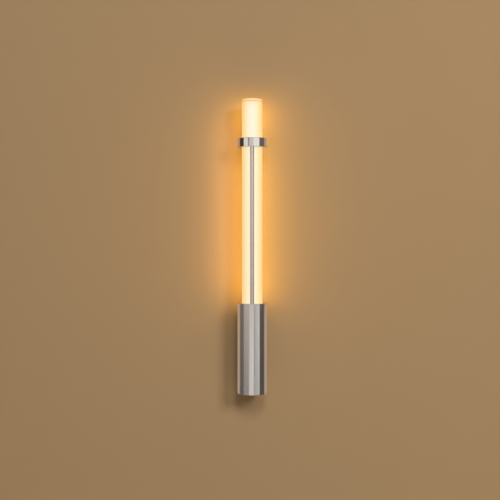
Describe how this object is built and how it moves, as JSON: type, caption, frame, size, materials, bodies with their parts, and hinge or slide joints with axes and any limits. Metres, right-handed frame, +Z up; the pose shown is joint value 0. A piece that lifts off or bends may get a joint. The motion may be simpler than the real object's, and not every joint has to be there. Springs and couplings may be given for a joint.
{
  "type": "tube wall light",
  "caption": "Upright opal tube light standing in a round satin metal base, braced by a metal ring on a slim front rod, held off the wall by a hidden standoff.",
  "frame": {"origin": "middle of the two wall screw slots, on the wall plane, level with the middle of the round base", "axes": "+Z up along the tube, +Y into the wall, +X to the right seen from the room"},
  "size_m": [0.06, 0.08, 0.597],
  "materials": {
    "satin_nickel": "polished satin nickel, fine turned grain",
    "standoff_nickel": "satin, finished to match the base",
    "zinc_steel": "zinc plated sheet and screws",
    "opal_glass": "satin opal, lit from inside",
    "opal_cap": "opal, lit from inside",
    "silicone": "translucent white silicone",
    "black_rubber": "matt black",
    "core_aluminium": "extruded, plain",
    "board_white": "white solder mask",
    "led_phosphor": "warm white LED packages",
    "spacer_white": "moulded",
    "driver_white": "moulded",
    "board_green": "solder mask",
    "transformer_yellow": "taped winding",
    "capacitor_sleeve": "shrink sleeve",
    "terminal_white": "moulded nylon",
    "brass": "plain",
    "tinned_copper": "tinned",
    "wire_brown": "insulated lead",
    "wire_blue": "insulated lead",
    "wire_green_yellow": "insulated lead",
    "wire_red": "insulated lead",
    "wire_black": "insulated lead"
  },
  "bodies": {
    "root": {"base_sleeve": "satin_nickel", "brace_ring": "satin_nickel", "bracket_screws": "zinc_steel", "cable_grommet": "black_rubber", "chassis": "zinc_steel", "chassis_screws": "zinc_steel", "chassis_spacers": "zinc_steel", "core_plate": "core_aluminium", "core_plate_screws": "zinc_steel", "core_screw": "zinc_steel", "core_spacer": "spacer_white", "driver_board": "board_green", "driver_capacitors": "capacitor_sleeve", "driver_case": "driver_white", "driver_lid": "driver_white", "driver_screws": "zinc_steel", "driver_transformer": "transformer_yellow", "earth_screw": "zinc_steel", "earth_tag": "tinned_copper", "feed_board": "board_white", "lead_earth": "wire_green_yellow", "lead_grommet": "black_rubber", "lead_led_negative": "wire_black", "lead_led_positive": "wire_red", "lead_live": "wire_brown", "lead_neutral": "wire_blue", "led_board_back": "board_white", "led_board_front": "board_white", "led_board_left": "board_white", "led_board_right": "board_white", "led_core": "core_aluminium", "leds_back": "led_phosphor", "leds_front": "led_phosphor", "leds_left": "led_phosphor", "leds_right": "led_phosphor", "ring_grub_screw": "zinc_steel", "ring_o_rings": "silicone", "rod": "satin_nickel", "seat_gasket": "silicone", "spacer_screw": "zinc_steel", "standoff": "standoff_nickel", "standoff_screws": "zinc_steel", "terminal_block": "terminal_white", "terminal_fixing_screws": "zinc_steel", "terminal_screws": "zinc_steel", "terminal_tubes": "brass", "top_cap": "satin_nickel", "wall_bracket": "zinc_steel"},
    "glass": {"opal_tube": "opal_glass", "cap_gasket": "silicone", "tube_cap": "opal_cap"},
    "bottom_cover": {"bottom_cap": "satin_nickel", "bottom_cap_screw": "zinc_steel"}
  },
  "joints": [
    {"name": "tube_lift", "type": "slide", "parent": "root", "child": "glass", "axis": [0, 0, 1], "range_m": [0, 0.43]},
    {"name": "bottom_cap_drop", "type": "slide", "parent": "root", "child": "bottom_cover", "axis": [0, 0, -1], "range_m": [0, 0.03]}
  ]
}
